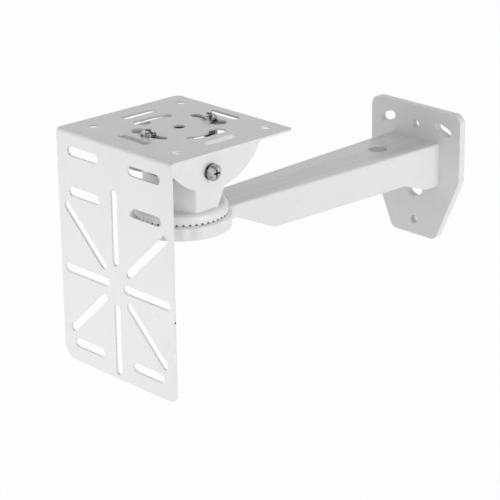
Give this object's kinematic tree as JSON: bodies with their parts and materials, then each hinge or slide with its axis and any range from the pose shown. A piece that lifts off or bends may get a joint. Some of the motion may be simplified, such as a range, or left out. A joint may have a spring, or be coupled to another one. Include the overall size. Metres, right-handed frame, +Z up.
{
  "type": "camera wall bracket",
  "caption": "Steel wall arm with a turning, tilting head and an L-shaped slotted plate that a camera housing bolts to.",
  "frame": {"origin": "centre of the wall plate's back face, where it lies on the wall", "axes": "+Y into the wall, +Z up, +X to the right when facing the wall"},
  "size_m": [0.12, 0.3145, 0.1759],
  "materials": {
    "white_paint": "smooth white powder coat",
    "zinc": "bright zinc plate"
  },
  "bodies": {
    "wall_arm": {"wall_plate": "white_paint", "arm": "white_paint"},
    "turning_head": {"pan_disc": "white_paint", "tilt_yoke": "white_paint", "pan_bolt": "zinc", "pan_washer": "zinc", "pan_spring_washer": "zinc", "pan_nut": "zinc"},
    "tilting_clevis": {"tilt_clevis": "white_paint", "tilt_bolt": "zinc", "tilt_flat_washer": "zinc", "tilt_spring_washer": "zinc", "tilt_far_washer": "zinc", "tilt_nut": "zinc", "plate_screw_front": "zinc", "plate_washer_front": "zinc", "plate_spring_washer_front": "zinc", "plate_nut_front": "zinc", "plate_screw_rear": "zinc", "plate_washer_rear": "zinc", "plate_spring_washer_rear": "zinc", "plate_nut_rear": "zinc"},
    "swivel_plate": {"camera_plate": "white_paint"}
  },
  "joints": [
    {"name": "pan", "type": "hinge", "parent": "wall_arm", "child": "turning_head", "pos_m": [0, -0.252, 0.035], "axis": [0, 0, 1], "range_deg": [-60, 60]},
    {"name": "tilt", "type": "hinge", "parent": "turning_head", "child": "tilting_clevis", "pos_m": [0, -0.252, 0.0634], "axis": [1, 0, 0], "range_deg": [-45, 45]},
    {"name": "plate_swivel", "type": "hinge", "parent": "tilting_clevis", "child": "swivel_plate", "pos_m": [0, -0.252, 0.089], "axis": [0, 0, -1], "range_deg": [-24, 24]}
  ]
}
